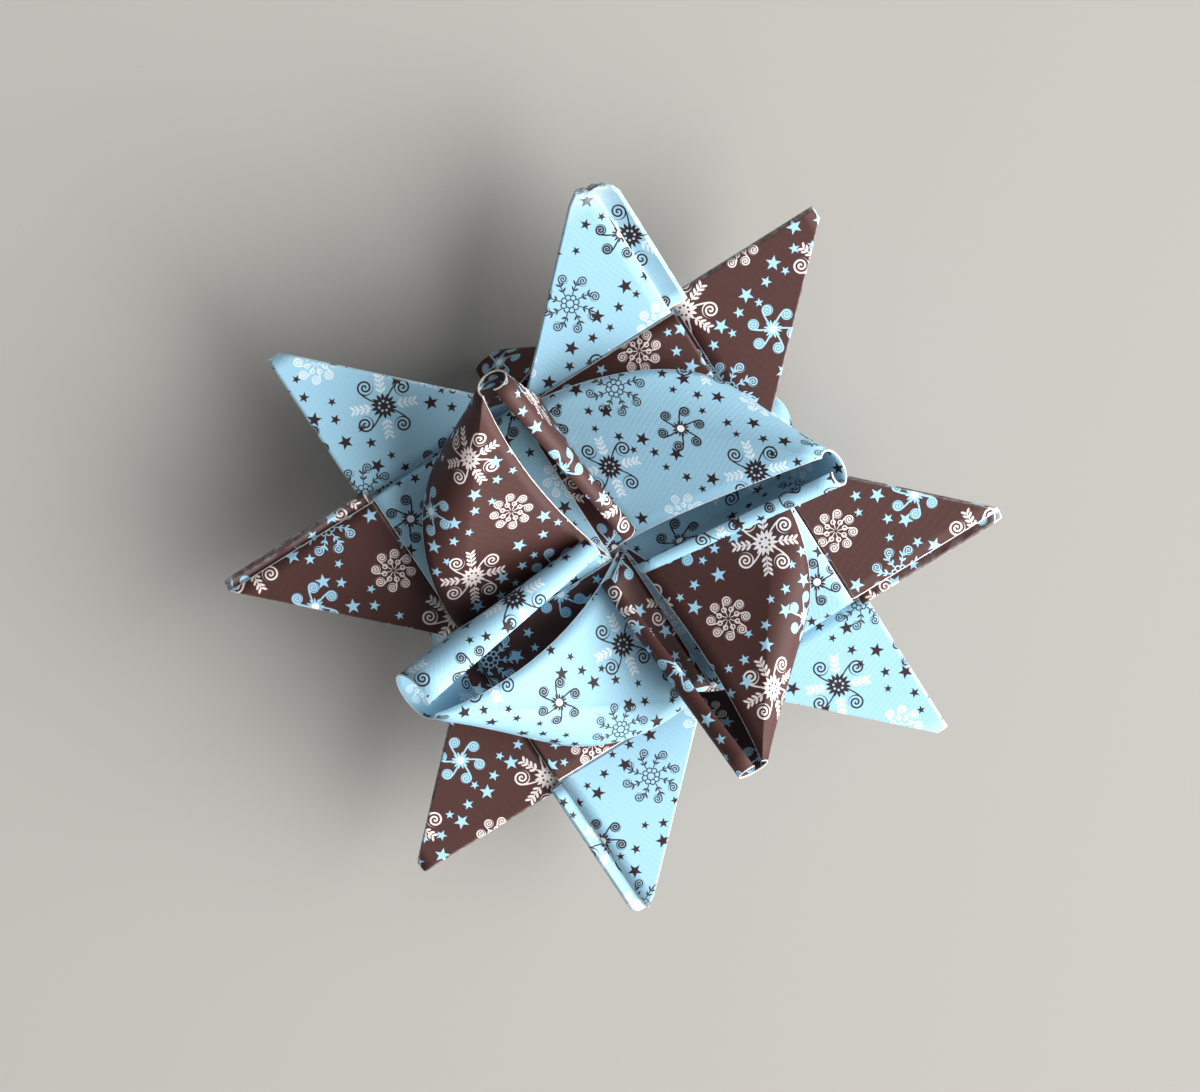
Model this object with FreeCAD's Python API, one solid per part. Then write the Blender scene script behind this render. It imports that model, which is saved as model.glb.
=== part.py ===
"""Froebel star: four paper strips folded and woven into one eight-pointed star.

Every strip is one closed sheet.  It is doubled over at both ends of the central
woven square, so it lies there in three layers.  Each of its two free ends makes
one flat point, runs back under the neighbouring band, rolls up into one raised
cone and is tucked away inside the next flat point.  Each strip is laid like the
one before it, a quarter turn further about Z.  The front cones are curled by
hand, each with its own mouth and slit, and the back cones are alike.

Frame: origin on the star's axis, at the middle of its whole height, and +Z the
front.  The front cones are the longer ones, so the woven knot lies a little
behind the origin.  The front cones point along +X, +Y, -X and -Y, and the back
cones point the same ways behind them.
"""
import FreeCAD
import Part
import math
import os

from FreeCAD import Vector

UP = Vector(0, 0, 1)
DOCUMENT_NAME = "froebel_star"

# Alias, value and meaning of each driving dimension.  Lengths in mm, angles in degrees.
SIZES = [
    ("strip_width", 15.0, "width of the cut paper strip"),
    ("paper", 0.15, "thickness of the paper"),
    ("layer_gap", 0.06, "air between two layers that lie on each other"),
    ("edge_gap", 0.05, "play between a strip's edge and what passes or wraps it"),
    ("point_lap", 0.6, "how far a flat point's outer fold stands beyond the strip's edge"),
    ("knot_height", -0.664, "height of the woven knot's middle, which centres the whole star"),
    ("foot_gap", 0.12, "air between the foot of a roll and the cone it lies along"),
    ("cone_rise", 30.0, "slope of the cones above the woven square"),
    ("cone_reach", 20.0, "distance of the cones' tops from the star's axis, seen from the front"),
    ("roll_start", 1.5, "distance of the roll's inner end from the star's axis"),
    ("roll_offset", 1.8, "sideways offset of the roll's inner end from the slit"),
    ("belly_out", 21.5, "how far the cone's lower rim is drawn outwards"),
    ("belly_side", 7.0, "how far the cone's lower rim is drawn sideways"),
    ("belly_drop", 1.5, "how far the cone's lower rim is drawn downwards"),
    ("body_lead", 2.5, "flat stretch of the cone's body before its end dives"),
    ("body_pull", 13.0, "length over which the cone's lower rim leaves the flat body"),
    ("tuck_short", 0.4, "how far the short edge of the tucked end passes the square"),
    ("tuck_long", 9.0, "how far the long edge of the tucked end passes the square"),
]

# What differs from cone to cone: alias ending and meaning.
CONE_SIZES = [
    ("longer", "how much farther out the top lies than cone_reach"),
    ("aside", "sideways offset of the top from the slit"),
    ("mouth", "radius of the open rolled tip"),
    ("lap", "how far the mouth's rim spirals in under itself, and out"),
    ("roll", "radius of the roll beside the slit, at its inner end"),
    ("edge", "angle round the mouth at which the body's free edge leaves it"),
    ("bow", "how far the free edge bows sideways, away from the roll"),
    ("sag", "how far the free edge sags towards the woven square"),
]

# Values of the cone sizes, in the order above.
CONES = {
    "right": (-0.4, 2.3, 1.5, 0.9, 0.8, 90.0, -0.5, 0.0),
    "upper": (0.0, 0.0, 1.5, 0.5, 0.9, 105.0, 1.6, 0.2),
    "left": (-0.3, 0.7, 2.3, 0.3, 1.1, 140.0, 1.5, 0.5),
    "lower": (0.2, -0.4, 1.3, 0.3, 0.8, 120.0, 1.0, 0.2),
    "back": (-2.4, 0.9, 1.6, 0.55, 1.0, 90.0, 0.6, 0.1),
}

FOLD_STEPS = 8          # creases that make one fold of half a turn
SKIRT_STEPS = 6         # facets from the foot of the roll up to its side
ROLL_STEPS = 14         # facets round the roll beside the slit
CONE_STEPS = 30         # facets round the body of a cone
EDGE_STEPS = 8          # facets along the free edge of a cone's body
ROLL_FROM = -10.0       # where the roll leaves the mouth's rim, in degrees from its side
ROLL_TO = 115.0         # where the roll's own edge lies, past its top
FLATNESS = 1e-6         # how far a corner may lie out of the plane of the other three
QUARTER = 90.0          # turn from one strip to the next, in degrees

# Node and front cone of each strip.  A node is named after the side on which it crosses
# the middle of the star.
STRIPS = [
    ("blue_strip_right", "right"),
    ("brown_strip_upper", "upper"),
    ("blue_strip_left", "left"),
    ("brown_strip_lower", "lower"),
]


def make_sheet(doc):
    """Write the driving dimensions to a spreadsheet and give each cell its alias."""
    sheet = doc.addObject("Spreadsheet::Sheet", "Sizes")
    rows = list(SIZES)
    for cone, values in CONES.items():
        for (ending, meaning), value in zip(CONE_SIZES, values):
            rows.append(("%s_%s" % (cone, ending), value, "%s cone: %s" % (cone, meaning)))
    for row, (alias, value, meaning) in enumerate(rows, start=1):
        sheet.set("A%d" % row, alias)
        sheet.set("B%d" % row, str(value))
        sheet.set("C%d" % row, meaning)
        sheet.setAlias("B%d" % row, alias)
    doc.recompute()
    return sheet


class Layout:
    """Sizes that follow from the spreadsheet: levels of the layers and lines of the weave."""

    def __init__(self, sheet):
        for alias, _, _ in SIZES:
            setattr(self, alias, float(getattr(sheet, alias)))
        self.cones = {}
        for cone in CONES:
            endings = [ending for ending, _ in CONE_SIZES]
            self.cones[cone] = {ending: float(getattr(sheet, cone + "_" + ending)) for ending in endings}
        self.pitch = self.paper + self.layer_gap
        self.rise = math.radians(self.cone_rise)
        # A band steps down by three layers in the gap between two neighbouring strips.
        self.step_run = 3 * self.pitch / math.tan(self.rise)
        self.inner = self.step_run / 2 + self.edge_gap
        self.outer = self.inner + self.strip_width
        # Line where a band starts up from under the strip that covers it.
        self.emerge = self.step_run - self.inner
        # Line round which a strip doubles back, and base line of the flat points.
        self.turn = self.outer + self.edge_gap
        self.corner = self.pitch / 2
        self.base = self.turn + self.corner + self.paper / 2 + self.edge_gap

    def level(self, layers):
        """Height of the middle of a layer, counted in layers from the star's middle plane."""
        return layers * self.pitch


class Folder:
    """A strip folded crease by crease.

    The flat strip has the coordinates (across, along).  The strip is laid out in
    space by a frame that turns about every crease it meets, so all faces keep
    their size.  A ruling is a straight line from the strip's inner edge to its
    outer edge, given by how far along the strip it starts and ends.
    """

    def __init__(self, width, origin, across, along):
        self.width = width
        self.origin = origin
        self.across = across
        self.along = along
        self.rulings = []

    def point(self, across, along):
        return self.origin + self.across * across + self.along * along

    def mark(self, start, end):
        """Add the ruling between both edges, with no fold."""
        self.rulings.append((self.point(0, start), self.point(self.width, end)))

    def crease(self, start, end, angle):
        """Add a ruling and turn the rest of the strip about it."""
        near = self.point(0, start)
        far = self.point(self.width, end)
        self.rulings.append((near, far))
        turn = FreeCAD.Rotation(far - near, math.degrees(angle))
        self.origin = near + turn.multVec(self.origin - near)
        self.across = turn.multVec(self.across)
        self.along = turn.multVec(self.along)

    def sign(self, start, end, upwards):
        """Sense of turn about a ruling that lifts what lies beyond it."""
        axis = self.point(self.width, end) - self.point(0, start)
        lifts = axis.cross(self.along).dot(UP) > 0
        return 1 if lifts == upwards else -1

    def bend(self, start, end, angle, upwards):
        self.crease(start, end, angle * self.sign(start, end, upwards))

    def fold(self, start, end, spacing, radius, upwards):
        """Fold the strip back on itself, one spacing above or below.

        Half the creases round each of the two corners, with a wall between them.
        Returns how far the last crease lies beyond the first, along the strip.
        """
        step = math.pi / FOLD_STEPS
        slant = math.hypot(end - start, self.width) / self.width
        facet = 2 * radius * math.tan(step / 2) * slant
        wall = (spacing - 2 * radius) * slant
        turn = step * self.sign(start, end, upwards)
        shift = 0
        for count in range(FOLD_STEPS):
            if count > 0:
                shift += facet
            if count == FOLD_STEPS // 2:
                shift += wall
            self.crease(start + shift, end + shift, turn)
        return shift


def flat_half(size):
    """Rulings of half a strip, from its middle to where it comes up as a cone."""
    width = size.strip_width
    pitch = size.pitch
    strip = Folder(width, Vector(size.inner, 0, 0), Vector(1, 0, 0), Vector(0, -1, 0))

    # The middle layer slopes down through the weave, then runs flat to the turn.
    dip = math.atan2(pitch / 2, size.inner)
    strip.crease(0, 0, 0)
    strip.along = FreeCAD.Rotation(Vector(1, 0, 0), math.degrees(dip)).multVec(strip.along)
    sloped = math.hypot(size.inner, pitch / 2)
    strip.bend(sloped, sloped, dip, True)
    here = sloped + size.turn - size.inner
    here += strip.fold(here, here, 5 * pitch, size.corner, True)

    # The front layer runs back over its own quarter and steps down under the next band.
    here += size.turn - size.inner
    strip.bend(here, here, size.rise, False)
    here += 3 * pitch / math.sin(size.rise)
    strip.bend(here, here, size.rise, True)

    # Flat point: folded back aslant, doubled over across, folded forward aslant.
    here += size.base - size.emerge
    past = strip.fold(here, here + width, pitch, size.corner, False)
    margin = size.edge_gap + size.point_lap
    here += past + width + margin
    here += strip.fold(here, here, 4 * pitch, 2 * pitch, True)
    past = strip.fold(here + width + margin, here + margin, pitch, size.corner, False)

    # Back under the band to the edge where the sheet comes up.
    here += past + margin + width + size.base - size.emerge
    strip.mark(here, here)
    return strip.rulings


class Cone:
    """Lines of one front cone, which points along +X.  Its slit lies along the X axis."""

    def __init__(self, size, name):
        self.size = size
        self.own = size.cones[name]
        slope = math.tan(size.rise)
        self.ahead = Vector(math.cos(size.rise), 0, math.sin(size.rise))
        self.side = Vector(0, -1, 0)
        self.above = Vector(-math.sin(size.rise), 0, math.cos(size.rise))
        # The body rises as a plane from the line where its end dives into the weave.
        self.landing = Vector(-size.emerge, size.inner, size.level(2.5))
        self.landing_far = Vector(-size.emerge, size.outer, size.level(2.5))
        self.flat_end = self.landing_far + self.ahead * size.body_lead
        reach = size.cone_reach + self.own["longer"]
        height = self.landing.z + (reach + size.emerge) * slope
        top = Vector(reach, -self.own["aside"], height)
        self.mouth = top - self.above * (self.own["mouth"] + self.own["lap"])
        # The roll stands on a foot that lies along the neighbouring cone's body.
        foot_y = -size.roll_offset
        foot_z = size.level(2.5) + size.paper + size.foot_gap + (size.emerge - foot_y) * slope
        self.foot_near = Vector(size.roll_start, foot_y, foot_z)
        self.foot_far = Vector(size.outer, foot_y, foot_z)
        self.roll = self.foot_near + UP * (self.own["roll"] + size.paper)

    def around(self, centre, radius, angle):
        """Point on a circle across the cone's axis.  0 is the roll's side and 90 the top."""
        turn = math.radians(angle)
        return centre + self.side * (radius * math.cos(turn)) + self.above * (radius * math.sin(turn))

    def roll_rulings(self):
        """From the foot up the side of the roll, over its top and down to its own edge."""
        own = self.own
        rulings = [(self.around(self.roll, own["roll"], -90.0), self.foot_far)]
        side_far = self.around(self.mouth, own["mouth"], ROLL_FROM)
        for count in range(1, SKIRT_STEPS + 1):
            share = count / SKIRT_STEPS
            angle = -90.0 + (ROLL_FROM + 90.0) * share
            near = self.around(self.roll, own["roll"], angle)
            rulings.append((near, self.foot_far + (side_far - self.foot_far) * share))
        for count in range(1, ROLL_STEPS + 1):
            share = count / ROLL_STEPS
            angle = ROLL_FROM + (ROLL_TO - ROLL_FROM) * share
            near = self.around(self.roll, own["roll"], angle)
            far = self.around(self.mouth, own["mouth"] - own["lap"] * share, angle)
            rulings.append((near, far))
        return rulings

    def rim(self, share):
        """Lower rim of the cone, a cubic curve from the foot of the roll to the flat body."""
        size = self.size
        ends = [
            self.foot_far,
            Vector(size.belly_out, size.belly_side, self.foot_far.z - size.belly_drop),
            self.flat_end + self.ahead * size.body_pull,
            self.flat_end,
        ]
        return curve_point(ends, share)

    def body_rulings(self):
        """From the side of the roll, under and round the mouth, and along the free edge."""
        size = self.size
        own = self.own
        rulings = []
        for count in range(CONE_STEPS + 1):
            share = count / CONE_STEPS
            angle = ROLL_FROM + (own["edge"] - 360.0 - ROLL_FROM) * share
            near = self.around(self.mouth, own["mouth"] + own["lap"] * share, angle)
            rulings.append((near, self.rim(share)))
        tip = rulings[-1][0]
        # The free edge runs from the mouth to the landing as a cubic curve.
        bow = self.side * -own["bow"]
        sag = self.above * -own["sag"]
        third = (self.landing - tip) / 3
        lead = self.landing + self.ahead * third.Length + bow
        ends = [tip, tip + third + bow + sag, lead, self.landing]
        for count in range(1, EDGE_STEPS + 1):
            share = count / EDGE_STEPS
            far = self.flat_end + (self.landing_far - self.flat_end) * share
            rulings.append((curve_point(ends, share), far))
        return rulings

    def end_ruling(self):
        """The end dives under the next band and is cut aslant inside the flat point."""
        size = self.size
        short_end = Vector(-size.outer - size.tuck_short, size.inner, size.level(2.5))
        long_end = Vector(-size.outer - size.tuck_long, size.outer, size.level(2.5))
        return (short_end, long_end)


def curve_point(ends, share):
    """Point of a cubic curve with the given four control points."""
    rest = 1 - share
    weights = [rest**3, 3 * rest**2 * share, 3 * rest * share**2, share**3]
    total = Vector(0, 0, 0)
    for end, weight in zip(ends, weights):
        total += end * weight
    return total


def facet_normal(one, two):
    """Normal of the facet between two rulings."""
    ruling = (one[1] - one[0]) + (two[1] - two[0])
    advance = (two[0] - one[0]) + (two[1] - one[1])
    normal = ruling.cross(advance)
    return normal.normalize()


def flat_faces(corners):
    """Faces over four corners: one if they lie in one plane, and two triangles if not."""
    first, second, third, fourth = corners
    normal = (second - first).cross(third - first)
    if abs(normal.normalize().dot(fourth - first)) < FLATNESS:
        outlines = [corners]
    else:
        outlines = [[first, second, third], [first, third, fourth]]
    return [Part.Face(Part.makePolygon(outline + outline[:1])) for outline in outlines]


def thick_sheet(rulings, paper):
    """Closed sheet of paper over a run of rulings, mitred where it bends.

    A panel whose two rulings are not in one plane is creased along its diagonal.
    """
    normals = [facet_normal(one, two) for one, two in zip(rulings, rulings[1:])]
    sections = []
    for place, (near, far) in enumerate(rulings):
        before = normals[max(place - 1, 0)]
        after = normals[min(place, len(normals) - 1)]
        middle = (before + after).normalize()
        half = middle * (paper / 2 / middle.dot(after))
        sections.append([near - half, far - half, far + half, near + half])
    faces = flat_faces(sections[0]) + flat_faces(sections[-1])
    for one, two in zip(sections, sections[1:]):
        faces += flat_faces([one[0], one[1], two[1], two[0]])
        faces += flat_faces([two[2], one[2], one[3], two[3]])
        faces += flat_faces([one[1], one[2], two[2], two[1]])
        faces += flat_faces([one[3], one[0], two[0], two[3]])
    return Part.makeSolid(Part.makeShell(faces))


def behind(rulings):
    """The same rulings turned half a turn about X, which maps the star's front to its back."""
    turn = FreeCAD.Rotation(Vector(1, 0, 0), 180)
    return [(turn.multVec(near), turn.multVec(far)) for near, far in rulings]


def strip_shape(size, front_name):
    """One whole strip: the band with a roll at both ends, and the bodies of its two cones."""
    front = Cone(size, front_name)
    back = Cone(size, "back")
    half = flat_half(size)
    back_band = behind(half + back.roll_rulings())
    whole_band = back_band[:0:-1] + half + front.roll_rulings()
    front_body = front.body_rulings() + [front.end_ruling()]
    back_body = behind(back.body_rulings() + [back.end_ruling()])
    bodies = [thick_sheet(front_body, size.paper), thick_sheet(back_body, size.paper)]
    solids = thick_sheet(whole_band, size.paper).multiFuse(bodies).Solids
    if len(solids) != 1:
        raise RuntimeError("the strip with the %s cone has %d solids" % (front_name, len(solids)))
    return solids[0]


def check_objects(objects):
    """Stop when an object has failed or holds no valid shape."""
    for item in objects:
        if "Invalid" in item.State or "Error" in item.State:
            raise RuntimeError("%s: state %s" % (item.Label, item.State))
        if item.Shape.isNull() or not item.Shape.isValid():
            raise RuntimeError("%s: shape is not valid" % item.Label)


def main():
    doc = FreeCAD.newDocument(DOCUMENT_NAME)
    size = Layout(make_sheet(doc))
    knot = Vector(0, 0, size.knot_height)
    strips = []
    for turn, (name, front_name) in enumerate(STRIPS):
        strip = doc.addObject("Part::Feature", name)
        strip.Label = name
        strip.Shape = strip_shape(size, front_name)
        strip.Placement = FreeCAD.Placement(knot, FreeCAD.Rotation(UP, QUARTER * turn))
        strips.append(strip)
    doc.recompute()
    check_objects(strips)
    os.makedirs("parts", exist_ok=True)
    for strip in strips:
        strip.Shape.exportStep("parts/%s.step" % strip.Label)


main()
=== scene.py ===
import math

import bmesh
import bpy
from mathutils import Matrix, Quaternion, Vector


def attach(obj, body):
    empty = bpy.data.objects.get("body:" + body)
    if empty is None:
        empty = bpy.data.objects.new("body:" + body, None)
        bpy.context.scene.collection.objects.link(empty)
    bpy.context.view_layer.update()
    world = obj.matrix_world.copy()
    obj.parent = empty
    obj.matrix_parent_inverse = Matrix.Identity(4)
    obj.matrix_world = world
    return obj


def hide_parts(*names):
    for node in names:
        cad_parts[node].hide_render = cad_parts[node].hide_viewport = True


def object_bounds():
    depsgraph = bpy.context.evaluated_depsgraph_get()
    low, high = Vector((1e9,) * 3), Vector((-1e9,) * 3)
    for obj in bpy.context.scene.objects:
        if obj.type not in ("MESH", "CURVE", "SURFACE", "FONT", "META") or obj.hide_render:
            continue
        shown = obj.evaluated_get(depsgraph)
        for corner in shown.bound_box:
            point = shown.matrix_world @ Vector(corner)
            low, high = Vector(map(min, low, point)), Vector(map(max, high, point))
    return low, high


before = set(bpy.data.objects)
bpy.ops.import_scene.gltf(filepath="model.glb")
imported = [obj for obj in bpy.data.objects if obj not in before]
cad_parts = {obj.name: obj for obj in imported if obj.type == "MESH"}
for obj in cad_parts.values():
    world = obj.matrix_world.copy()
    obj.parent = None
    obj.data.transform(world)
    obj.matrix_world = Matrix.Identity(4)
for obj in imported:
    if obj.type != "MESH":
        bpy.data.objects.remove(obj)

MM = 0.001
UP = Vector((0, 0, 1))

bounds_at_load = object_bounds()


# ---------------------------------------------------------------------------
# Sizes of the folded paper, in mm
# ---------------------------------------------------------------------------

STRIP_WIDTH = 15.0
PAPER = 0.15                        # thickness
PITCH = 0.21                        # from one layer to the next
EDGE_GAP = 0.05                     # play beside a strip's edge
RISE = math.radians(30)             # slope of the cones and of the steps of the weave
STEP_RUN = 3 * PITCH / math.tan(RISE)
INNER = STEP_RUN / 2 + EDGE_GAP     # a strip's edge next to the star's axis
OUTER = INNER + STRIP_WIDTH
EMERGE = STEP_RUN - INNER           # line where a strip comes up from under the next one
TURN = OUTER + EDGE_GAP             # line round which a strip doubles back
CORNER = PITCH / 2                  # radius of a tight fold
BASE = TURN + CORNER + PAPER / 2 + EDGE_GAP     # base line of the flat points
KNOT_HEIGHT = -0.664                # middle plane of the weave
TOP_LAYER = 4.5                     # front of the woven square, in layers from that plane
LANDING_LAYER = 2.5                 # where the cones meet the weave, in layers from that plane

# How far a flat point's fold stands beyond the cut edge that it wraps.
POINT_LAP = {"right": 1.35, "upper": 0.4, "left": 0.8, "lower": 0.4, "back": 0.6}
MARGIN_SLOPE = math.radians(20)     # slope of the groove beside that edge
DIP = math.radians(50)              # slope by which a point's top layer slips under the band
POINT_LAYERS = 9                    # the flat points lie within as many layers of that plane

FOOT_GAP = 0.12                     # air under the foot of a roll
ROLL_START = 1.5                    # distance of the roll's inner end from the axis
ROLL_OFFSET = 1.8                   # sideways offset of the roll's inner end from the slit
BELLY = Vector((21.5, 7.0, -1.5))   # the cone's lower rim is drawn towards this place
BODY_LEAD = 2.5                     # flat stretch of the cone's body before its end dives
BODY_PULL = 13.0                    # length over which the lower rim leaves the flat body
TUCK_SHORT = 0.4                    # how far the tail's two edges pass the woven square
TUCK_LONG = 9.0
TAIL_BEND_NEAR = 0.15               # stretch over which the two edges bend down into the tail
TAIL_BEND_FAR = 0.02

ACROSS = 12          # faces across a strip
FOLD_STEPS = 8       # creases that make one fold of half a turn
SKIRT_STEPS = 12     # from the foot of the roll up to its side
ROLL_STEPS = 26      # round the roll beside the slit
CONE_STEPS = 64      # round the body of a cone
EDGE_STEPS = 16      # along the free edge of a cone's body

# Angles round a cone's mouth, in degrees from the roll's side.
ROLL_FOOT = -90.0    # bottom of the roll
ROLL_FROM = -10.0    # where the roll leaves the mouth's rim
ROLL_TO = 115.0      # the roll's own edge
FULL_TURN = 360.0

# Every front cone was curled by hand, so each has its own mouth and its own slit.
# All are lengths but edge, the angle at which the body's free edge leaves the mouth.
LOOK_SIZES = ("reach", "aside", "mouth", "lap", "roll", "edge", "bow", "sag")
CONE_LOOKS = {
    "right": (19.6, 2.0, 1.4, 0.7, 0.8, 155.0, 0.3, 0.1),
    "upper": (20.0, 0.0, 1.2, 0.4, 0.9, 150.0, 1.7, 0.2),
    "left": (19.7, 0.7, 2.3, 0.3, 1.1, 140.0, 3.0, 0.6),
    "lower": (20.2, -0.4, 1.3, 0.3, 0.8, 140.0, 1.3, 0.2),
    "back": (17.6, 0.9, 1.6, 0.55, 1.0, 90.0, 0.6, 0.1),
}

# How far the free edge of a cone's body reaches over the middle of the star.
CENTRE_FLAP = {"right": 0.57, "left": 0.57}
FLAP_CURVE = 6       # power of the place along the edge with which the flap sets in

# How far the foot of the roll stops short of the strip's edge, so that the body closes
# over the notch between two points.
FOOT_SHORT = {"lower": 1.4}

# Length of the tip of a flat point that is crumpled in, and of the other front tips.
BLUNT_TIPS = {"right": 3.1, "left": 1.1}
SHARP_TIP = 0.2
TIP_PUSH = 0.86              # share of its length by which a tip is pushed in
TIP_RIPPLE = 0.06            # how that share and the height ripple over the tip
TIP_LIFT = 0.05
RIPPLE_ACROSS = 4.1          # turns of the ripples, radians per mm
RIPPLE_ALONG = 5.3
RIPPLE_SLANT = 2.0

# How pale a crease is painted, from 0 to 1: partly real rubbing, partly a painted highlight on
# the fold's rounded crown.
HARD_WEAR_AND_SHEEN = 1.0
BEND_WEAR_AND_SHEEN = 0.5
FOOT_WEAR_AND_SHEEN = 0.3
SOFT_WEAR_AND_SHEEN = 0.3
TURN_WEAR_AND_SHEEN = 0.2
LANDING_WEAR_AND_SHEEN = 0.15
NO_WEAR_AND_SHEEN = 0.0
WEAR_AND_SHEEN_FADE = 6        # the paleness, real rubbing and painted highlight, sets in over one part in six of the width, from the inner edge


def level(layers):
    """Height of the middle of a layer, counted in layers from the star's middle plane."""
    return layers * PITCH


class Ruling:
    """Straight line across the folded strip, from its inner edge to its outer edge."""

    def __init__(self, near, far, wear_and_sheen=NO_WEAR_AND_SHEEN):
        self.near = near
        self.far = far
        self.wear_and_sheen = wear_and_sheen

    def behind(self):
        """The same line turned half a turn about X, from the star's front to its back."""
        flip = Vector((1, -1, -1))
        return Ruling(self.near * flip, self.far * flip, self.wear_and_sheen)


def between(one, two, share):
    return Ruling(one.near.lerp(two.near, share), one.far.lerp(two.far, share))


class Folder:
    """A strip folded crease by crease, in a frame that turns about every crease."""

    def __init__(self):
        self.origin = Vector((INNER, 0, 0))
        self.across = Vector((1, 0, 0))
        self.along = Vector((0, -1, 0))
        self.rulings = []

    def point(self, across, along):
        return self.origin + self.across * across + self.along * along

    def mark(self, start, end):
        self.rulings.append(Ruling(self.point(0, start), self.point(STRIP_WIDTH, end)))

    def turn(self, near, axis, angle):
        spin = Quaternion(axis.normalized(), angle)
        self.origin = near + spin @ (self.origin - near)
        self.across = spin @ self.across
        self.along = spin @ self.along

    def bend(self, start, end, angle, upwards, wear_and_sheen=BEND_WEAR_AND_SHEEN):
        """One crease, which turns the rest of the strip up or down."""
        near = self.point(0, start)
        far = self.point(STRIP_WIDTH, end)
        axis = far - near
        lifts = axis.cross(self.along).dot(UP) > 0
        self.rulings.append(Ruling(near, far, wear_and_sheen))
        self.turn(near, axis, angle if lifts == upwards else -angle)

    def fold(self, start, end, spacing, radius, upwards, peak_wear_and_sheen=HARD_WEAR_AND_SHEEN):
        """Double the strip back: half the creases round each corner, with a wall between."""
        step = math.pi / FOLD_STEPS
        slant = math.hypot(end - start, STRIP_WIDTH) / STRIP_WIDTH
        facet = 2 * radius * math.tan(step / 2) * slant
        wall = (spacing - 2 * radius) * slant
        axis = self.point(STRIP_WIDTH, end) - self.point(0, start)
        lifts = axis.cross(self.along).dot(UP) > 0
        turn = step if lifts == upwards else -step
        shift = 0
        for count in range(FOLD_STEPS):
            if count > 0:
                shift += facet
            if count == FOLD_STEPS // 2:
                shift += wall
            near = self.point(0, start + shift)
            far = self.point(STRIP_WIDTH, end + shift)
            # The crown of the fold is painted palest: real rubbing, and a painted highlight
            # where the rounded fold turns.
            crown = 1 - abs(2 * count / (FOLD_STEPS - 1) - 1)
            self.rulings.append(Ruling(near, far, crown * peak_wear_and_sheen))
            self.turn(near, far - near, turn)
        return shift


def flat_half(point_lap):
    """Half a strip, from the middle of the star to where it comes up as a cone."""
    width = STRIP_WIDTH
    strip = Folder()

    # The middle layer slopes down through the weave, then runs flat to the turn.
    dip = math.atan2(PITCH / 2, INNER)
    strip.mark(0, 0)
    strip.along = Quaternion(Vector((1, 0, 0)), dip) @ strip.along
    sloped = math.hypot(INNER, PITCH / 2)
    strip.bend(sloped, sloped, dip, True)
    here = sloped + TURN - INNER
    here += strip.fold(here, here, 5 * PITCH, CORNER, True, TURN_WEAR_AND_SHEEN)

    # The front layer runs back over its quarter and steps down under the next band.
    here += TURN - INNER
    strip.bend(here, here, RISE, False)
    here += 3 * PITCH / math.sin(RISE)
    strip.bend(here, here, RISE, True)

    # Flat point: folded back aslant, doubled over across with a groove, folded forward aslant.
    here += BASE - EMERGE
    past = strip.fold(here, here + width, PITCH, CORNER, False)
    margin = EDGE_GAP + point_lap
    here += past + width + margin
    drop = margin * math.tan(MARGIN_SLOPE)
    here += strip.fold(here, here, 3 * PITCH + drop, 1.5 * PITCH, True)
    # The ridge beside the fold is painted a little pale: real rubbing and a painted highlight.
    strip.bend(here, here, MARGIN_SLOPE, False, SOFT_WEAR_AND_SHEEN)
    here += margin / math.cos(MARGIN_SLOPE)
    strip.bend(here, here, MARGIN_SLOPE, True, NO_WEAR_AND_SHEEN)
    past = strip.fold(here + width, here, PITCH, CORNER, True)
    here += past + width

    # The top layer dips to slip under the band.
    strip.bend(here, here, DIP, False, SOFT_WEAR_AND_SHEEN)
    here += PITCH / math.sin(DIP)
    strip.bend(here, here, DIP, True, NO_WEAR_AND_SHEEN)
    here += BASE - EMERGE - PITCH / math.tan(DIP)
    strip.mark(here, here)
    return strip.rulings


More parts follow.
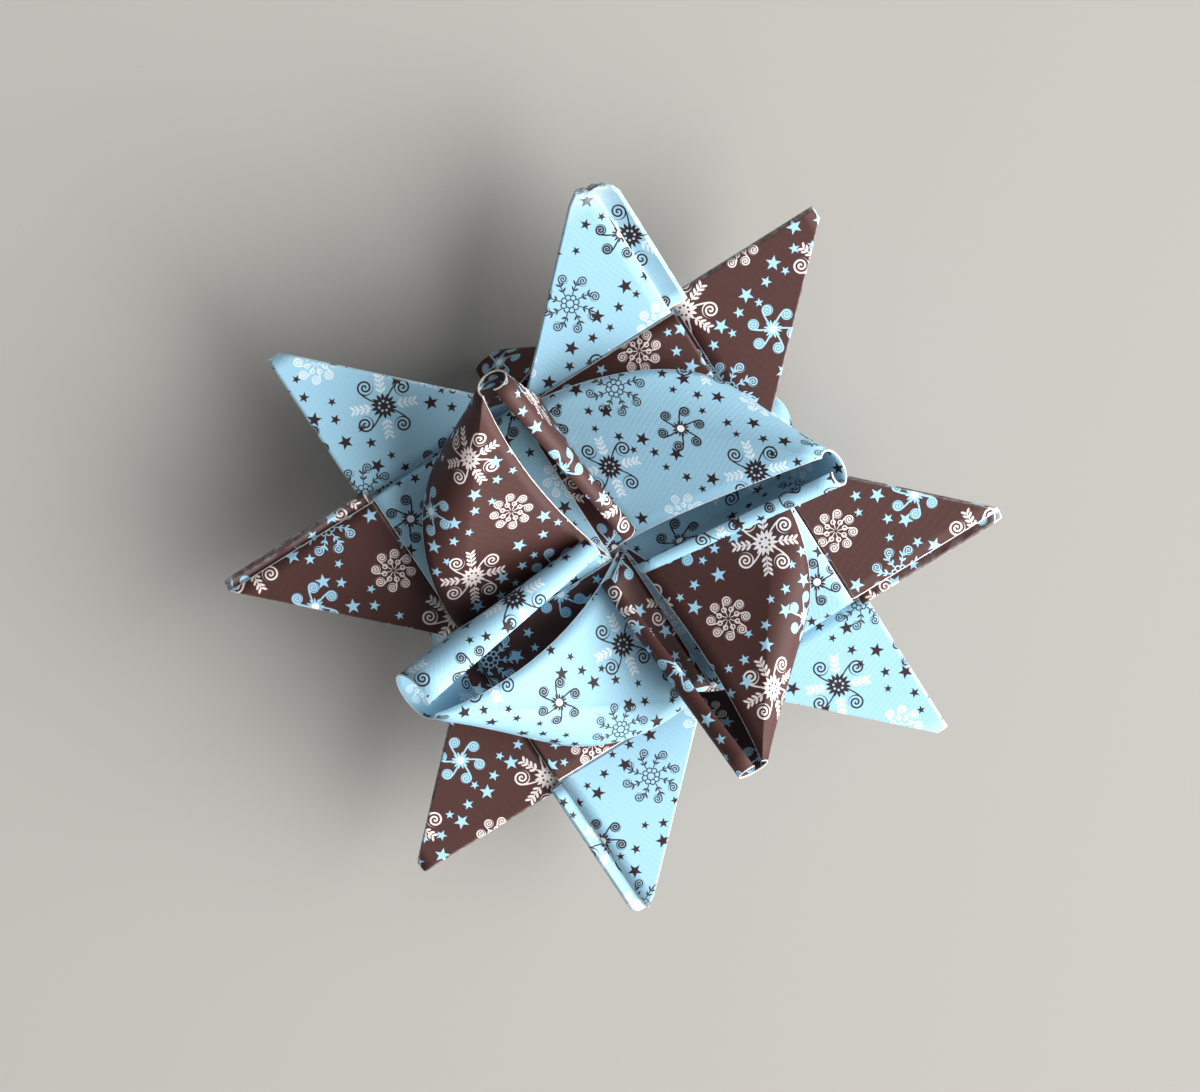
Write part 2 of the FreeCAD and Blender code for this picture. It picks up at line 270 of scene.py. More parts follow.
class Cone:
    """Lines of one front cone, which points along +X with its slit above the X axis."""

    def __init__(self, name):
        slope = math.tan(RISE)
        look = dict(zip(LOOK_SIZES, CONE_LOOKS[name]))
        self.look = look
        self.centre_flap = CENTRE_FLAP.get(name, 0.0)
        self.ahead = Vector((math.cos(RISE), 0, math.sin(RISE)))
        self.side = Vector((0, -1, 0))
        self.above = Vector((-math.sin(RISE), 0, math.cos(RISE)))
        # The body rises as a plane from the line where its end dives into the weave.
        landing_height = level(LANDING_LAYER)
        self.landing = Vector((-EMERGE, INNER, landing_height))
        self.landing_far = Vector((-EMERGE, OUTER, landing_height))
        self.flat_end = self.landing_far + self.ahead * BODY_LEAD
        height = self.landing.z + (look["reach"] + EMERGE) * slope
        top = Vector((look["reach"], -look["aside"], height))
        self.mouth = top - self.above * (look["mouth"] + look["lap"])
        # The roll stands on a foot that lies along the neighbouring cone's body.
        foot_y = -ROLL_OFFSET
        foot_z = landing_height + PAPER + FOOT_GAP + (EMERGE - foot_y) * slope
        self.foot_near = Vector((ROLL_START, foot_y, foot_z))
        self.foot_far = Vector((OUTER - FOOT_SHORT.get(name, 0.0), foot_y, foot_z))
        self.roll = self.foot_near + UP * (look["roll"] + PAPER)

    def around(self, centre, radius, angle):
        """Point on a circle across the cone's axis.  0 is the roll's side and 90 the top."""
        turn = math.radians(angle)
        aside = self.side * (radius * math.cos(turn))
        return centre + aside + self.above * (radius * math.sin(turn))

    def roll_rulings(self):
        """From the foot up the side of the roll, over its top and down to its own edge."""
        look = self.look
        foot_near = self.around(self.roll, look["roll"], ROLL_FOOT)
        rulings = [Ruling(foot_near, self.foot_far, FOOT_WEAR_AND_SHEEN)]
        side_far = self.around(self.mouth, look["mouth"], ROLL_FROM)
        for count in range(1, SKIRT_STEPS + 1):
            share = count / SKIRT_STEPS
            angle = ROLL_FOOT + (ROLL_FROM - ROLL_FOOT) * share
            near = self.around(self.roll, look["roll"], angle)
            rulings.append(Ruling(near, self.foot_far.lerp(side_far, share)))
        for count in range(1, ROLL_STEPS + 1):
            share = count / ROLL_STEPS
            angle = ROLL_FROM + (ROLL_TO - ROLL_FROM) * share
            near = self.around(self.roll, look["roll"], angle)
            far = self.around(self.mouth, look["mouth"] - look["lap"] * share, angle)
            rulings.append(Ruling(near, far))
        return rulings

    def rim(self, share):
        """Lower rim of the cone, a cubic curve from the foot of the roll to the flat body."""
        ends = [
            self.foot_far,
            Vector((BELLY.x, BELLY.y, self.foot_far.z + BELLY.z)),
            self.flat_end + self.ahead * BODY_PULL,
            self.flat_end,
        ]
        return curve_point(ends, share)

    def body_rulings(self):
        """Round the mouth, along the free edge and down into the tail."""
        look = self.look
        rulings = []
        for count in range(CONE_STEPS + 1):
            share = count / CONE_STEPS
            angle = ROLL_FROM + (look["edge"] - FULL_TURN - ROLL_FROM) * share
            near = self.around(self.mouth, look["mouth"] + look["lap"] * share, angle)
            rulings.append(Ruling(near, self.rim(share)))
        tip = rulings[-1].near

        # The free edge runs from the mouth to the landing as a cubic curve.
        bow = self.side * -look["bow"]
        sag = self.above * -look["sag"]
        third = (self.landing - tip) / 3
        lead = self.landing + self.ahead * third.length + bow
        ends = [tip, tip + third + bow + sag, lead, self.landing]
        for count in range(1, EDGE_STEPS + 1):
            share = count / EDGE_STEPS
            flap = self.side * (self.centre_flap * share**FLAP_CURVE)
            near = curve_point(ends, share) + flap
            rulings.append(Ruling(near, self.flat_end.lerp(self.landing_far, share)))
        rulings[-1].wear_and_sheen = LANDING_WEAR_AND_SHEEN

        # The tail dives under the next band and is cut aslant inside the flat point.
        tail_near = Vector((-EMERGE - TAIL_BEND_NEAR, INNER, self.landing.z))
        rulings.append(Ruling(tail_near, self.landing_far - self.ahead * TAIL_BEND_FAR))
        short_end = Vector((-OUTER - TUCK_SHORT, INNER, self.landing.z))
        long_end = Vector((-OUTER - TUCK_LONG, OUTER, self.landing.z))
        rulings.append(Ruling(short_end, long_end))
        return rulings


def curve_point(ends, share):
    """Point of a cubic curve with the given four control points."""
    rest = 1 - share
    weights = [rest**3, 3 * rest**2 * share, 3 * rest * share**2, share**3]
    return sum((end * weight for end, weight in zip(ends, weights)), Vector((0, 0, 0)))


# ---------------------------------------------------------------------------
# Sheets
# ---------------------------------------------------------------------------

LONGEST_PANEL = 1.5      # longest face along a strip, mm
FOLD_MARGIN = 0.12       # distance of the nearest ruling from a fold, mm
TOUCHING = 1e-7          # below this length, two corners are one
MERGE_DISTANCE = 1e-4
SHARP_ANGLE = math.radians(40)


def split_panels(rulings):
    """Add rulings inside the long flat panels, with one close to each fold."""
    fine = [rulings[0]]
    for one, two in zip(rulings, rulings[1:]):
        length = max((two.near - one.near).length, (two.far - one.far).length)
        pieces = int(length / LONGEST_PANEL) + 1
        shares = [count / pieces for count in range(1, pieces)]
        if pieces > 1:
            margin = FOLD_MARGIN / length
            shares = [margin] + shares + [1 - margin]
        fine += [between(one, two, share) for share in shares]
        fine.append(two)
    return fine


def unroll(rulings, near, far):
    """Flat places of the ends of all rulings, panel by panel, from those of the first."""
    flat = [(near, far)]
    for one, two in zip(rulings, rulings[1:]):
        step_near = (two.near - one.near).length
        step_far = (two.far - one.far).length
        diagonal = (two.near - one.far).length
        new_near = third_corner(near, far, step_near, diagonal, 1)
        new_far = third_corner(far, new_near, step_far, (two.far - two.near).length, -1)
        near, far = new_near, new_far
        flat.append((near, far))
    return flat


def third_corner(one, two, from_one, from_two, side):
    """Corner of a flat triangle that stands on the line from one to two, on its given side."""
    base = two - one
    length = base.length
    if from_one < TOUCHING:
        return one.copy()
    along = (from_one**2 - from_two**2 + length**2) / (2 * length)
    height = math.sqrt(max(from_one**2 - along**2, 0.0))
    ahead = base / length
    normal = Vector((-ahead.y, ahead.x)) * side
    return one + ahead * along + normal * height


def add_sheet(mesh, rulings, flat):
    """Lay a grid along the rulings: its columns run across the strip."""
    paper = mesh.loops.layers.uv["paper"]
    wear_and_sheen = mesh.verts.layers.float["wear_and_sheen"]
    margin = mesh.verts.layers.float["margin"]
    rows = len(rulings)
    made = bmesh.ops.create_grid(mesh, x_segments=rows - 1, y_segments=ACROSS, size=0.5)
    flat_of = {}
    for vert in made["verts"]:
        row = round((vert.co.x + 0.5) * (rows - 1))
        share = round((vert.co.y + 0.5) * ACROSS) / ACROSS
        ruling = rulings[row]
        near, far = flat[row]
        flat_of[vert] = near.lerp(far, share)
        vert.co = ruling.near.lerp(ruling.far, share)
        vert[wear_and_sheen] = ruling.wear_and_sheen * min(1.0, WEAR_AND_SHEEN_FADE * share)
        vert[margin] = min(share, 1 - share) * (ruling.far - ruling.near).length
    faces = {face for vert in made["verts"] for face in vert.link_faces}
    for face in faces:
        for loop in face.loops:
            loop[paper].uv = flat_of[loop.vert]
    return made["verts"]


def crumple_tip(verts, length, wear_and_sheen):
    """Push in the tip of the front flat point, whose two edges are 45 degrees apart, and rub it
    pale.
    """
    half_tip = math.pi / 8
    ahead = Vector((math.sin(half_tip), math.cos(half_tip), 0))
    flat = [vert for vert in verts if abs(vert.co.z) < level(POINT_LAYERS)]
    start = max(vert.co.dot(ahead) for vert in flat) - length
    for vert in flat:
        past = vert.co.dot(ahead) - start
        if past > -length / 2:
            vert[wear_and_sheen] = max(vert[wear_and_sheen], min(1.0, 1.0 + past / length))
        if past > 0:
            x, y = vert.co.x, vert.co.y
            ripple = math.sin(x * RIPPLE_ACROSS) + math.sin(y * RIPPLE_ALONG + x * RIPPLE_SLANT)
            vert.co -= ahead * past * (TIP_PUSH + TIP_RIPPLE * ripple)
            vert.co.z += TIP_LIFT * past * ripple


# Materials of a strip: 0 is the printed face that is turned out.
PAPER_INSIDE = 1
CUT_EDGE = 2
BODY_PRINT_SHIFT = 40.0      # the cones' bodies take their print this far along the paper, mm


def strip_mesh(name, front_cone, turns):
    """One strip: band with both rolls, and the bodies of its front and back cones."""
    front = Cone(front_cone)
    back = Cone("back")
    band_front = flat_half(POINT_LAP[front_cone]) + front.roll_rulings()
    band_back = flat_half(POINT_LAP["back"]) + back.roll_rulings()
    band_behind = [ruling.behind() for ruling in band_back]
    band = split_panels(band_behind[:0:-1] + band_front)
    mesh = bmesh.new()
    mesh.loops.layers.uv.new("paper")
    mesh.verts.layers.float.new("wear_and_sheen")
    mesh.verts.layers.float.new("margin")
    flat = unroll(band, Vector((0, 0)), Vector((STRIP_WIDTH, 0)))
    band_verts = add_sheet(mesh, band, flat)
    tip_length = BLUNT_TIPS.get(front_cone, SHARP_TIP)
    crumple_tip(band_verts, tip_length, mesh.verts.layers.float["wear_and_sheen"])
    bodies = [
        (front.body_rulings(), flat[-1][1].y + BODY_PRINT_SHIFT),
        ([ruling.behind() for ruling in back.body_rulings()], -BODY_PRINT_SHIFT),
    ]
    for rulings, place in bodies:
        body = split_panels(rulings)[::-1]
        add_sheet(mesh, body, unroll(body, Vector((STRIP_WIDTH, place)), Vector((0, place))))
    bmesh.ops.remove_doubles(mesh, verts=mesh.verts, dist=MERGE_DISTANCE)
    bmesh.ops.recalc_face_normals(mesh, faces=mesh.faces)

    # The printed side is the one that the top layer of the square shows in front.
    above_square = Vector((INNER + STRIP_WIDTH / 2, -OUTER / 2, level(TOP_LAYER)))
    nearest = min(mesh.faces, key=lambda face: (face.calc_center_median() - above_square).length)
    if nearest.normal.z < 0:
        bmesh.ops.reverse_faces(mesh, faces=mesh.faces)
    spin = Matrix.Rotation(math.radians(90 * turns), 4, "Z") @ Matrix.Scale(MM, 4)
    place = spin @ Matrix.Translation((0, 0, KNOT_HEIGHT))
    bmesh.ops.transform(mesh, matrix=place, verts=mesh.verts)
    data = bpy.data.meshes.new(name)
    mesh.to_mesh(data)
    mesh.free()
    data.polygons.foreach_set("use_smooth", [True] * len(data.polygons))
    data.set_sharp_from_angle(angle=SHARP_ANGLE)
    return data


# ---------------------------------------------------------------------------
# Printed paper
# ---------------------------------------------------------------------------

def colour(red, green, blue):
    """Scene colour of a tint that is given as a screen shows it, 0 to 255."""
    tint = [value / 255 for value in (red, green, blue)]
    return [c / 12.92 if c < 0.04045 else ((c + 0.055) / 1.055) ** 2.4 for c in tint] + [1.0]


class Field:
    """A number that varies over the surface.  Arithmetic on it adds Math nodes."""

    def __init__(self, tree, socket):
        self.tree = tree
        self.socket = socket

    def math(self, operation, *values):
        node = self.tree.nodes.new("ShaderNodeMath")
        node.operation = operation
        for socket, value in zip(node.inputs, (self,) + values):
            if isinstance(value, Field):
                self.tree.links.new(value.socket, socket)
            else:
                socket.default_value = value
        return Field(self.tree, node.outputs[0])

    def __add__(self, other):
        return self.math("ADD", other)

    def __sub__(self, other):
        return self.math("SUBTRACT", other)

    def __mul__(self, other):
        return self.math("MULTIPLY", other)

    def __truediv__(self, other):
        return self.math("DIVIDE", other)

    def clamped(self):
        field = self.math("ADD", 0.0)
        field.socket.node.use_clamp = True
        return field

    def fraction(self):
        return self.math("FRACT")

    def whole(self):
        return self.math("FLOOR")

    def size(self):
        return self.math("ABSOLUTE")

    def most(self, other):
        return self.math("MAXIMUM", other)

    def least(self, other):
        return self.math("MINIMUM", other)


INK_EDGE = 0.05      # softness of a printed edge, mm


def inked(depth):
    """Full ink where a shape is deeper than its edge, fading over the soft edge."""
    return (depth / INK_EDGE + 0.5).clamped()


def polar(x, y):
    """Distance from the centre, and the angle round it."""
    radius = (x * x + y * y).math("SQRT")
    return radius, y.math("ARCTAN2", x)


def one_arm(radius, angle, arms):
    """Coordinates along and beside the nearest of the arms that radiate from a centre."""
    sector = 2 * math.pi / arms
    turn = ((angle / sector + 0.5).fraction() - 0.5) * sector
    return radius * turn.math("COSINE"), radius * turn.math("SINE")


def stroke(distance, half_width):
    """Ink on both sides of a line."""
    return inked(distance.size() * -1.0 + half_width)


def segment(x, start, end):
    """Ink between two places along an arm."""
    return inked((x - start).least(x * -1.0 + end))


CURL_PITCH = 0.55    # spacing of a curl's turns, as a share of its radius


def curl(x, y, start, radius, half_width):
    """A line that leaves an arm where it ends and curls inwards beside it."""
    out, angle = polar(x - start, y - radius)
    pitch = radius * CURL_PITCH
    wound = (angle / (2 * math.pi) + 0.25).fraction()
    beside = (((out * -1.0 + radius) / pitch - wound + 0.5).fraction() - 0.5) * pitch
    return stroke(beside, half_width) * inked(out * -1.0 + (radius + half_width))


def loop(x, y, place, radius, half_width):
    """A small ring on an arm."""
    out, _ = polar(x - place, y)
    return stroke(out - radius, half_width)


def leaflet(x, y, place, aside, half_length, half_width):
    """A slim leaf on both sides of an arm, pointing outwards at forty-five degrees."""
    along = ((x - place) + (y.size() - aside)) * math.sqrt(0.5)
    beside = ((x - place) - (y.size() - aside)) * math.sqrt(0.5)
    out = (along * along / half_length**2 + beside * beside / half_width**2).math("SQRT")
    return inked((out * -1.0 + 1.0) * half_width)


def spiked_disc(radius, angle, spikes, inner, outer):
    """A disc with a rim of sharp points."""
    share = ((angle * spikes / (2 * math.pi)).fraction() - 0.5).size() * 2.0
    return inked(radius * -1.0 + inner + share * (outer - inner))


# Slope of a star's flanks, as the depth below the tip and the depth beside its arm.
FLANK_ALONG = 0.351
FLANK_BESIDE = 0.937


def five_point_star(x, y, radius, turn):
    """A plain star with five sharp arms."""
    out, angle = polar(x, y)
    along, beside = one_arm(out, angle + turn, arms=5)
    depth = (along * -1.0 + radius) * FLANK_ALONG - beside.size() * FLANK_BESIDE
    return inked(depth)


ARM_WIDTH = 0.85     # width of a bent arm, as a share of its curl's line


def hook(x, y, start, end, radius, half_width):
    """A bent arm that ends in a curl, and the distance from the arm's middle line."""
    beside = y + (x * (math.pi / (2 * end))).math("SINE") * radius
    arm = stroke(beside, half_width * ARM_WIDTH) * segment(x, start, end)
    return arm.most(curl(x, y + radius, end, radius, half_width)), beside


def curl_snowflake(radius, angle):
    """Eight thin arms that end in curls, with a small ring between each two."""
    x, y = one_arm(radius, angle, arms=8)
    arm, _ = hook(x, y, start=0.15, end=1.6, radius=0.38, half_width=0.06)
    x, y = one_arm(radius, angle + math.pi / 8, arms=8)
    return arm.most(loop(x, y, place=0.85, radius=0.19, half_width=0.05))


def leaf_snowflake(radius, angle):
    """Eight leafy twigs that end in curls, around a ring of petals."""
    x, y = one_arm(radius, angle, arms=8)
    twig, beside = hook(x, y, start=0.8, end=2.3, radius=0.4, half_width=0.06)
    leaf = {"aside": 0.18, "half_length": 0.24, "half_width": 0.085}
    leaves = leaflet(x, beside, 1.35, **leaf).most(leaflet(x, beside, 1.85, **leaf))
    return twig.most(leaves).most(loop(x, y, place=0.58, radius=0.24, half_width=0.055))


def star_flower(radius, angle):
    """Six bent arms with curled ends around a small pointed flower."""
    x, y = one_arm(radius, angle, arms=6)
    arm, _ = hook(x, y, start=0.5, end=1.8, radius=0.42, half_width=0.09)
    return arm.most(spiked_disc(radius, angle, spikes=12, inner=0.42, outer=0.85))


def scroll_flower(radius, angle):
    """Pointed flower with a dotted heart and four long scrolls."""
    x, y = one_arm(radius, angle, arms=4)
    arm, _ = hook(x, y, start=0.6, end=2.35, radius=0.66, half_width=0.085)
    heart = spiked_disc(radius, angle, spikes=14, inner=0.75, outer=1.2)
    dot_place = 0.45
    dot_radius = 0.11
    dot_x, dot_y = one_arm(radius, angle, arms=7)
    dot_out, _ = polar(dot_x - dot_place, dot_y)
    return arm.most(heart) - inked(dot_out * -1.0 + dot_radius)


def sprigs(radius, angle):
    """Four pale sprigs of leaves that stand between the scrolls."""
    turn = 0.95
    heart_radius = 1.15
    x, y = one_arm(radius, angle + turn, arms=4)
    stem = stroke(y, half_width=0.05) * segment(x, start=1.0, end=2.7)
    leaves = leaflet(x, y, 1.5, aside=0.24, half_length=0.28, half_width=0.12)
    for place in (1.95, 2.4, 2.8):
        leaf = leaflet(x, y, place, aside=0.22, half_length=0.27, half_width=0.11)
        leaves = leaves.most(leaf)
    return stem.most(leaves) * inked(radius - heart_radius)


def white_noise(tree, x, y, seed):
    """Three even random numbers for each whole pair of coordinates."""
    place = tree.nodes.new("ShaderNodeCombineXYZ")
    tree.links.new(x.socket, place.inputs[0])
    tree.links.new(y.socket, place.inputs[1])
    place.inputs[2].default_value = seed
    noise_node = tree.nodes.new("ShaderNodeTexWhiteNoise")
    noise_node.noise_dimensions = "3D"
    tree.links.new(place.outputs[0], noise_node.inputs["Vector"])
    parts = tree.nodes.new("ShaderNodeSeparateXYZ")
    tree.links.new(noise_node.outputs["Color"], parts.inputs[0])
    return [Field(tree, parts.outputs[axis]) for axis in range(3)]


MOTIF_CELL = 7.2         # spacing of the large ornaments, mm
MOTIF_JITTER = 0.9       # how far they stray from the middle of their cells, mm
KIND_JITTER = 0.9        # how freely one kind follows another
CENTRE_RADIUS = 0.34     # pale centre of a star flower, mm
SAME_KIND = 0.1          # kinds are whole numbers, so any small margin tells them apart

FLAKES = (curl_snowflake, leaf_snowflake, star_flower, scroll_flower)
STAR_FLOWER = float(FLAKES.index(star_flower))
SCROLL_FLOWER = float(FLAKES.index(scroll_flower))


def ornaments(tree, x, y, seed):
    """Ink of the large ornaments by kind, of the pale sprigs and centres, and of the stars."""
    row = (y / MOTIF_CELL).whole()
    across = x / MOTIF_CELL + (row * 0.5).fraction()
    pick = white_noise(tree, across.whole(), row, seed)
    local_x = (across.fraction() - 0.5) * MOTIF_CELL - (pick[0] - 0.5) * MOTIF_JITTER
    local_y = ((y / MOTIF_CELL).fraction() - 0.5) * MOTIF_CELL - (pick[1] - 0.5) * MOTIF_JITTER
    radius, angle = polar(local_x, local_y)
    angle = angle + (pick[0] + pick[1]) * math.pi
    kinds = float(len(FLAKES))
    kind = (across.whole() + row * 2.0 + pick[2] * KIND_JITTER) / kinds
    kind = (kind.fraction() * kinds).whole()
    inks = []
    for number, draw in enumerate(FLAKES):
        inks.append(draw(radius, angle) * kind.math("COMPARE", float(number), SAME_KIND))
    inks.append(sprigs(radius, angle) * kind.math("COMPARE", SCROLL_FLOWER, SAME_KIND))
    centre = inked(radius * -1.0 + CENTRE_RADIUS)
    inks.append(centre * kind.math("COMPARE", STAR_FLOWER, SAME_KIND))
    inks.append(scattered_stars(tree, x, y, seed))
    return inks


# Place and size of the stars in their cells, how far they stray and how they turn, in mm
# and radians.
STARS = [(0.75, -0.75, 0.72), (-1.0, 0.35, 0.52), (0.55, 0.95, 0.42)]
STAR_JITTER_X = 0.5
STAR_JITTER_Y = 0.8
STAR_TURN = 6.0
STAR_SEED = 7.0


def scattered_stars(tree, x, y, seed):
    """Loose groups of three five-pointed stars, in rows between the large ornaments."""
    spacing = MOTIF_CELL / 2
    row = (y / MOTIF_CELL + 0.5).whole()
    across = x / spacing + 0.5
    pick = white_noise(tree, across.whole(), row, seed + STAR_SEED)
    local_x = (across.fraction() - 0.5) * spacing
    local_y = ((y / MOTIF_CELL + 0.5).fraction() - 0.5) * MOTIF_CELL
    stars = None
    for number, (aside, up, size) in enumerate(STARS):
        moved_x = local_x - aside - (pick[number] - 0.5) * STAR_JITTER_X
        moved_y = local_y - up - (pick[number - 1] - 0.5) * STAR_JITTER_Y
        star = five_point_star(moved_x, moved_y, size, pick[2] * STAR_TURN + number)
        stars = star if stars is None else stars.most(star)
    return stars


def mix(tree, factor, first, second):
    """Blend of two colours, each fixed or from a socket, by a field."""
    node = tree.nodes.new("ShaderNodeMix")
    node.data_type = "RGBA"
    tree.links.new(factor.socket, node.inputs["Factor"])
    for socket, value in ((node.inputs["A"], first), (node.inputs["B"], second)):
        if isinstance(value, list):
            socket.default_value = value
        else:
            tree.links.new(value, socket)
    return node.outputs["Result"]


def noise_field(tree, coordinates, scale, detail):
    node = tree.nodes.new("ShaderNodeTexNoise")
    node.inputs["Scale"].default_value = scale
    node.inputs["Detail"].default_value = detail
    tree.links.new(coordinates, node.inputs["Vector"])
    return Field(tree, node.outputs["Fac"])


def attribute_field(tree, name):
    node = tree.nodes.new("ShaderNodeAttribute")
    node.attribute_name = name
    return Field(tree, node.outputs["Fac"])


def shaded(tint, factor, lift=0.0):
    """A lighter or darker shade of a colour."""
    return [min(value * factor + lift, 1.0) for value in tint[:3]] + [1.0]


def new_material(name, roughness, specular):
    """A material and its shader, with the given finish."""
    material = bpy.data.materials.new(name)
    material.use_nodes = True
    shader = material.node_tree.nodes["Principled BSDF"]
    shader.inputs["Roughness"].default_value = roughness
    shader.inputs["Specular IOR Level"].default_value = specular
    return material, shader


DARK_GROUND = 0.82       # darkest and lightest shade of the ground
LIGHT_GROUND = 1.16
LIGHT_LIFT = 0.01
DARK_CORE = 0.8          # darkest shade of the cut core
FIBRE_SHADE = 0.16       # how far the fibres change the ground's shade
CLOUD_SHADE = 0.12       # how far its slow mottling does
# Pale white painted on folds, for real rubbing and a painted highlight on their crowns, and
# beside cut edges.
WEAR_SHEEN_AND_CORE_WHITE = colour(226, 230, 230)
PATCH_CONTRAST = 1.5       # how patchy the pale marks on a fold are, real rubbing and painted highlight alike
PATCH_START = 0.35
WEAR_AND_SHEEN_STRENGTH = 0.8
CUT_FALL = -16.0         # how fast the pale line fades beside a cut edge, per mm
CUT_RAGGED = 2.0         # how ragged it is
CUT_START = 0.8
CUT_STRENGTH = 0.85
LAID_HEIGHT = 0.18       # height of the laid lines, as a share of the fibres' height
GRAIN_STRENGTH = 0.22
GRAIN_HEIGHT = 0.00006   # metres
PRINT_STEP_X = 3.1       # each paper takes its print from another place, mm
PRINT_STEP_Y = 5.7


def paper_material(name, ground, inks, seed, laid):
    """Printed craft paper with laid lines, pale along its folds, by real rubbing and a painted
    highlight, and along its cut edges.
    """
    material, shader = new_material(name, roughness=0.55, specular=0.22)
    tree = material.node_tree
    flat = tree.nodes.new("ShaderNodeUVMap")
    flat.uv_map = "paper"
    paper = flat.outputs["UV"]
    parts = tree.nodes.new("ShaderNodeSeparateXYZ")
    tree.links.new(paper, parts.inputs[0])
    x = Field(tree, parts.outputs[0])
    y = Field(tree, parts.outputs[1])

    fibre = noise_field(tree, paper, scale=5.0, detail=6.0)
    cloud = noise_field(tree, paper, scale=0.25, detail=2.0)
    shade = ((fibre - 0.5) * FIBRE_SHADE + (cloud - 0.5) * CLOUD_SHADE + 0.5).clamped()
    lighter = shaded(ground, LIGHT_GROUND, LIGHT_LIFT)
    tint = mix(tree, shade, shaded(ground, DARK_GROUND), lighter)
    prints = ornaments(tree, x + seed * PRINT_STEP_X, y + seed * PRINT_STEP_Y, seed)
    for ink, ink_colour in zip(prints, inks):
        tint = mix(tree, ink.clamped(), tint, ink_colour)

    # Folds are painted pale, partly real rubbing and partly a painted highlight on their rounded
    # crowns; cut edges get a pale line as well.
    patch_noise = noise_field(tree, paper, scale=1.6, detail=4.0)
    patches = (patch_noise * PATCH_CONTRAST - PATCH_START).clamped()
    wear_and_sheen = (attribute_field(tree, "wear_and_sheen") * patches * WEAR_AND_SHEEN_STRENGTH).clamped()
    margin = attribute_field(tree, "margin")
    cut = (margin * CUT_FALL + (patch_noise * CUT_RAGGED + CUT_START)).clamped()
    tint = mix(tree, wear_and_sheen.most(cut * CUT_STRENGTH), tint, WEAR_SHEEN_AND_CORE_WHITE)
    tree.links.new(tint, shader.inputs["Base Color"])

    height = fibre + (x * laid).math("SINE") * LAID_HEIGHT
    bump = tree.nodes.new("ShaderNodeBump")
    bump.inputs["Strength"].default_value = GRAIN_STRENGTH
    bump.inputs["Distance"].default_value = GRAIN_HEIGHT
    tree.links.new(height.socket, bump.inputs["Height"])
    tree.links.new(bump.outputs["Normal"], shader.inputs["Normal"])
    return material


def edge_material(name, tint):
    """Cut edge of the paper, where the white core shows."""
    material, shader = new_material(name, roughness=0.85, specular=0.2)
    tree = material.node_tree
    place = tree.nodes.new("ShaderNodeTexCoord")
    fibre = noise_field(tree, place.outputs["Object"], scale=2500.0, detail=4.0)
    tree.links.new(mix(tree, fibre, shaded(tint, DARK_CORE), tint), shader.inputs["Base Color"])
    return material


BLUE = colour(150, 194, 215)
BROWN = colour(68, 38, 34)
DARK_INK = colour(47, 31, 33)
WHITE_INK = colour(244, 248, 250)
PALE_INK = colour(218, 232, 240)
BLUE_INK = colour(156, 202, 224)
CREAM_INK = colour(226, 214, 210)
BLUE_LINES = 14.0        # laid lines of each paper, radians per mm
BROWN_LINES = 9.0

# Inks of the four large ornaments, the sprigs, the flower centres and the stars.
blue_inks = [PALE_INK, DARK_INK, DARK_INK, DARK_INK, PALE_INK, WHITE_INK, DARK_INK]
brown_inks = [CREAM_INK, BLUE_INK, BLUE_INK, CREAM_INK, CREAM_INK, WHITE_INK, BLUE_INK]

blue_print = paper_material("blue_printed_paper", BLUE, blue_inks, 1.0, BLUE_LINES)
blue_reverse = paper_material("blue_printed_reverse", BLUE, blue_inks, 3.0, BLUE_LINES)
brown_print = paper_material("brown_printed_paper", BROWN, brown_inks, 2.0, BROWN_LINES)
brown_reverse = paper_material("brown_printed_reverse", BROWN, brown_inks, 4.0, BROWN_LINES)
blue_edge = edge_material("blue_paper_cut_edge", colour(236, 240, 242))
brown_edge = edge_material("brown_paper_cut_edge", colour(222, 208, 202))

BLUE_PAPER = (blue_print, blue_reverse, blue_edge)
BROWN_PAPER = (brown_print, brown_reverse, brown_edge)

# Node, front cone, slot and materials of each strip.
STRIPS = [
    ("blue_strip_right", "right", "blue_paper", BLUE_PAPER),
    ("brown_strip_upper", "upper", "brown_paper", BROWN_PAPER),
    ("blue_strip_left", "left", "blue_paper", BLUE_PAPER),
    ("brown_strip_lower", "lower", "brown_paper", BROWN_PAPER),
]

for turns, (node, front_cone, slot, materials) in enumerate(STRIPS):
    name = "folded_" + node
    data = strip_mesh(name, front_cone, turns)
    for material in materials:
        data.materials.append(material)
    piece = bpy.data.objects.new(name, data)
    bpy.context.collection.objects.link(piece)
    thick = piece.modifiers.new("paper", "SOLIDIFY")
    thick.thickness = PAPER * MM
    thick.offset = 0.0
    thick.use_even_offset = True
    thick.material_offset = PAPER_INSIDE
    thick.material_offset_rim = CUT_EDGE
    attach(piece, "root")
    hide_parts(node)


# ---------------------------------------------------------------------------
# Floor, light and camera
# ---------------------------------------------------------------------------

lowest = bounds_at_load[0][2]

FLOOR_GREY = colour(161, 158, 153)

floor_mesh = bmesh.new()
bmesh.ops.create_grid(floor_mesh, x_segments=1, y_segments=1, size=1.5)
bmesh.ops.translate(floor_mesh, vec=(0, 0, lowest), verts=floor_mesh.verts)
floor_data = bpy.data.meshes.new("floor")
floor_mesh.to_mesh(floor_data)
floor_mesh.free()
floor = bpy.data.objects.new("floor", floor_data)
bpy.context.collection.objects.link(floor)
floor_material, floor_shader = new_material("pale_floor", roughness=0.9, specular=0.1)
floor_shader.inputs["Base Color"].default_value = FLOOR_GREY
floor_data.materials.append(floor_material)

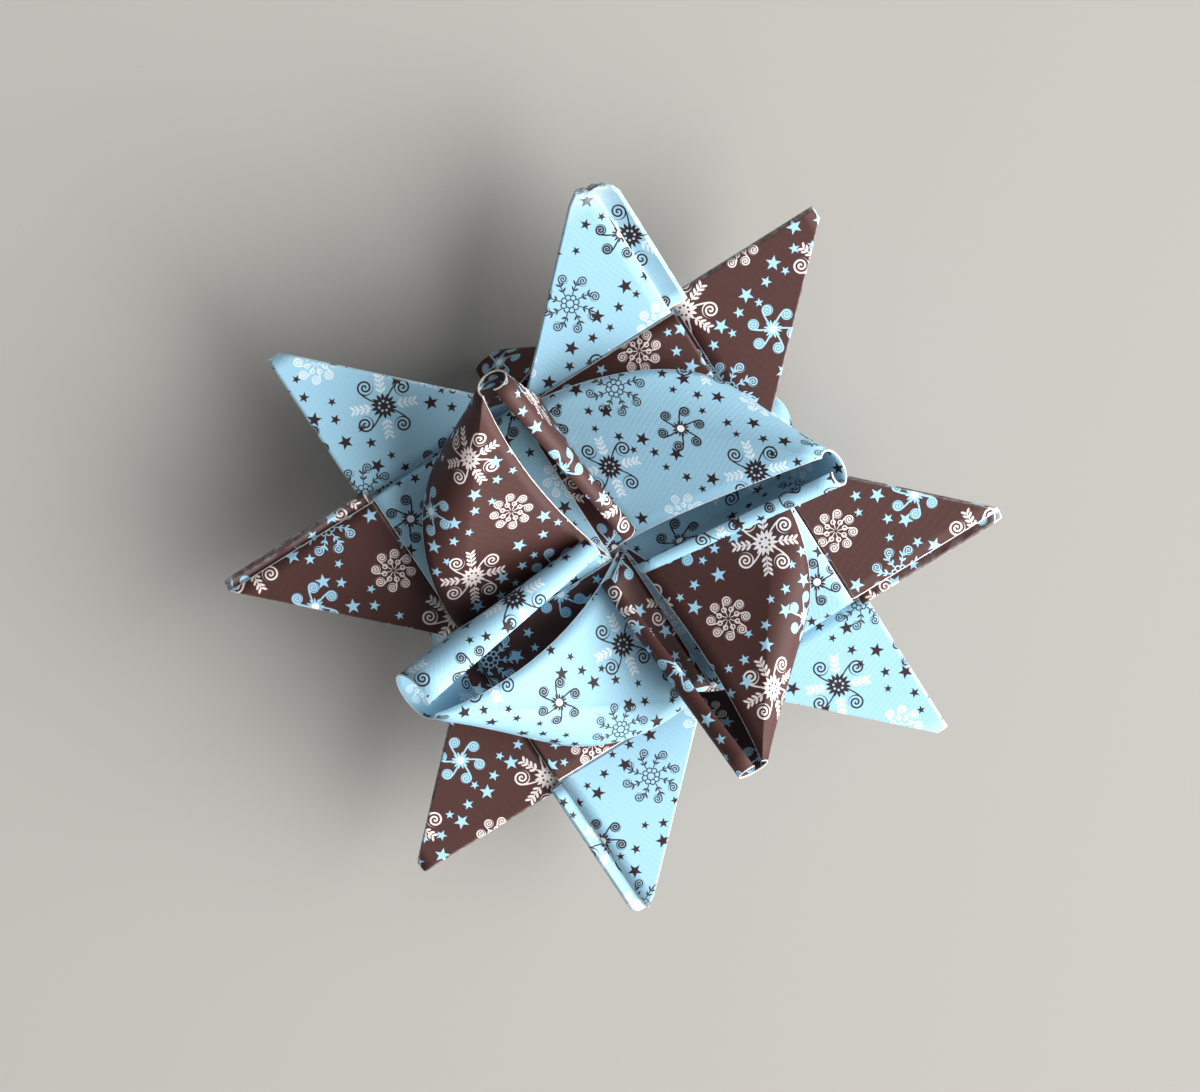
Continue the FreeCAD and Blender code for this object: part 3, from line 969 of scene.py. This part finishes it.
# The star's +X axis lies this far above the right of the camera's view.
VIEW_TURN = math.radians(32)
RIGHT = Vector((math.cos(-VIEW_TURN), math.sin(-VIEW_TURN), 0))
TOP = Vector((-RIGHT.y, RIGHT.x, 0))

LAMP_SPREAD = math.radians(100)


def lamp(name, right, top, height, size, power):
    """A round soft lamp that shines on the middle of the star."""
    data = bpy.data.lights.new(name, "AREA")
    data.shape = "DISK"
    data.size = size
    data.energy = power
    data.spread = LAMP_SPREAD
    light = bpy.data.objects.new(name, data)
    light.location = RIGHT * right + TOP * top + UP * height
    light.rotation_euler = light.location.to_track_quat("Z", "Y").to_euler()
    bpy.context.collection.objects.link(light)


lamp("window_light", right=0.67, top=-0.05, height=0.38, size=1.1, power=8.2)
lamp("room_light", right=0.53, top=-0.41, height=0.32, size=0.8, power=1.9)

AIR_TINT = colour(238, 240, 244)
AIR_STRENGTH = 0.32

world = bpy.data.worlds.new("room")
bpy.context.scene.world = world
world.use_nodes = True
air = world.node_tree.nodes["Background"]
air.inputs["Color"].default_value = AIR_TINT
air.inputs["Strength"].default_value = AIR_STRENGTH

DISTANCE = 0.30                      # of the camera, metres
TILT = math.radians(15)              # from straight above
TILT_TOWARDS = math.radians(103)     # side to which it leans, from the right
FRAME_WIDTH = 0.1077                 # width that the view takes in, metres
SENSOR_WIDTH = 36.0
AIM = RIGHT * -0.00135 + TOP * 0.00036     # middle of the view, just left of the axis

camera_data = bpy.data.cameras.new("camera")
camera_data.sensor_width = SENSOR_WIDTH
camera_data.lens = SENSOR_WIDTH * DISTANCE / FRAME_WIDTH
camera_data.clip_start = 0.01
camera = bpy.data.objects.new("camera", camera_data)
lean = RIGHT * math.cos(TILT_TOWARDS) + TOP * math.sin(TILT_TOWARDS)
towards = (lean * math.sin(TILT) + UP * math.cos(TILT)).normalized()
camera_right = TOP.cross(towards).normalized()
camera_up = towards.cross(camera_right)
turned = Matrix((camera_right, camera_up, towards)).transposed().to_4x4()
camera.matrix_world = Matrix.Translation(AIM + towards * DISTANCE) @ turned
bpy.context.collection.objects.link(camera)
bpy.context.scene.camera = camera
bpy.context.scene.view_settings.view_transform = "Standard"
